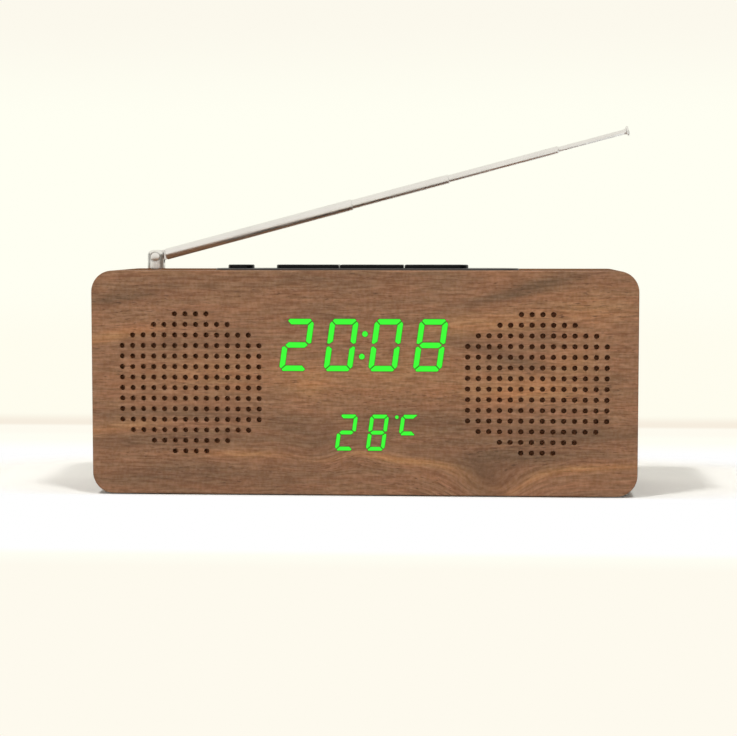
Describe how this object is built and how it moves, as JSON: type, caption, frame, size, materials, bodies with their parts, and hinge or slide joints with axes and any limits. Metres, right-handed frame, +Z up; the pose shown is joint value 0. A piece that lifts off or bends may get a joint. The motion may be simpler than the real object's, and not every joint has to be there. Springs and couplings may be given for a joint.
{
  "type": "clock radio",
  "caption": "Wooden table clock radio: walnut cabinet, drilled speaker grilles, digits that shine through the front, top keys and a telescopic antenna on a swivelling post.",
  "frame": {"origin": "on the surface the radio stands on, under the middle of the cabinet", "axes": "+X to the right as seen from the front, +Y from the front to the rear, +Z up; the display faces -Y"},
  "size_m": [0.206, 0.058, 0.141],
  "materials": {
    "black_lead": "black insulated wire",
    "black_plastic": "black moulded plastic",
    "black_screw": "blackened steel",
    "chrome": "polished chrome plate",
    "circuit_board": "green glass-fibre laminate",
    "diffuser_film": "milky film",
    "ferrite": "sintered ferrite",
    "foam_pad": "dense black foam rubber",
    "rear_plastic": "fine-textured black plastic",
    "red_lead": "red insulated wire",
    "sensor_resin": "dark resin bead",
    "speaker_cloth": "dark brown grille cloth",
    "speaker_paper": "black pressed paper",
    "switch_plastic": "black moulded plastic",
    "walnut_veneer": "satin walnut veneer",
    "white_reflector": "white moulded plastic",
    "zinc_steel": "zinc-plated steel"
  },
  "bodies": {
    "cabinet": {"antenna_lead": "red_lead", "antenna_washer": "zinc_steel", "audio_jack": "black_plastic", "button_board": "circuit_board", "button_board_screw_left": "zinc_steel", "button_board_screw_right": "zinc_steel", "cabinet_shell": "walnut_veneer", "coin_cell": "zinc_steel", "coin_cell_holder": "switch_plastic", "control_plate": "black_plastic", "display_board": "circuit_board", "display_diffuser": "diffuser_film", "display_reflector": "white_reflector", "display_screw_1": "zinc_steel", "display_screw_2": "zinc_steel", "foot_front_left": "foam_pad", "foot_front_right": "foam_pad", "foot_rear_left": "foam_pad", "foot_rear_right": "foam_pad", "front_panel": "walnut_veneer", "main_board": "circuit_board", "main_board_screw_1": "zinc_steel", "main_board_screw_2": "zinc_steel", "power_jack": "black_plastic", "rear_panel": "rear_plastic", "rear_screw_1": "black_screw", "rear_screw_2": "black_screw", "rear_screw_3": "black_screw", "rear_screw_4": "black_screw", "speaker_left_cloth": "speaker_cloth", "speaker_left_cone": "speaker_paper", "speaker_left_frame": "zinc_steel", "speaker_left_lead": "black_lead", "speaker_left_magnet": "ferrite", "speaker_left_screw_1": "zinc_steel", "speaker_left_screw_2": "zinc_steel", "speaker_right_cloth": "speaker_cloth", "speaker_right_cone": "speaker_paper", "speaker_right_frame": "zinc_steel", "speaker_right_lead": "black_lead", "speaker_right_magnet": "ferrite", "speaker_right_screw_1": "zinc_steel", "speaker_right_screw_2": "zinc_steel", "switch_left": "switch_plastic", "switch_middle": "switch_plastic", "switch_power": "switch_plastic", "switch_right": "switch_plastic", "temperature_sensor": "sensor_resin"},
    "antenna_base": {"antenna_post": "chrome", "antenna_rivet": "chrome", "antenna_nut": "zinc_steel"},
    "antenna_mast": {"antenna_tube_1": "chrome"},
    "antenna_stage_2": {"antenna_tube_2": "chrome"},
    "antenna_stage_3": {"antenna_tube_3": "chrome"},
    "antenna_tip": {"antenna_tip_rod": "chrome"},
    "power_button": {"power_button": "black_plastic"},
    "key_left": {"key_left": "black_plastic"},
    "key_middle": {"key_middle": "black_plastic"},
    "key_right": {"key_right": "black_plastic"}
  },
  "joints": [
    {"name": "antenna_swivel", "type": "hinge", "parent": "cabinet", "child": "antenna_base", "pos_m": [-0.08492, 0.011, 0.0898], "axis": [0, 0, 1], "continuous": true},
    {"name": "antenna_tilt", "type": "hinge", "parent": "antenna_base", "child": "antenna_mast", "pos_m": [-0.08492, 0.011, 0.0898], "axis": [0, -1, 0], "range_deg": [-14.8, 75.2]},
    {"name": "antenna_slide_2", "type": "slide", "parent": "antenna_mast", "child": "antenna_stage_2", "axis": [0.9668, 0, 0.2554], "range_m": [-0.039, 0.024]},
    {"name": "antenna_slide_3", "type": "slide", "parent": "antenna_stage_2", "child": "antenna_stage_3", "axis": [0.9668, 0, 0.2554], "range_m": [-0.044, 0.018]},
    {"name": "antenna_slide_tip", "type": "slide", "parent": "antenna_stage_3", "child": "antenna_tip", "axis": [0.9668, 0, 0.2554], "range_m": [-0.0255, 0.037]},
    {"name": "power_button_press", "type": "slide", "parent": "cabinet", "child": "power_button", "axis": [0, 0, -1], "range_m": [0, 0.0006], "stiffness_N_per_m": 400, "springref_m": -0.0005},
    {"name": "key_left_press", "type": "slide", "parent": "cabinet", "child": "key_left", "axis": [0, 0, -1], "range_m": [0, 0.0006], "stiffness_N_per_m": 400, "springref_m": -0.0005},
    {"name": "key_middle_press", "type": "slide", "parent": "cabinet", "child": "key_middle", "axis": [0, 0, -1], "range_m": [0, 0.0006], "stiffness_N_per_m": 400, "springref_m": -0.0005},
    {"name": "key_right_press", "type": "slide", "parent": "cabinet", "child": "key_right", "axis": [0, 0, -1], "range_m": [0, 0.0006], "stiffness_N_per_m": 400, "springref_m": -0.0005}
  ]
}
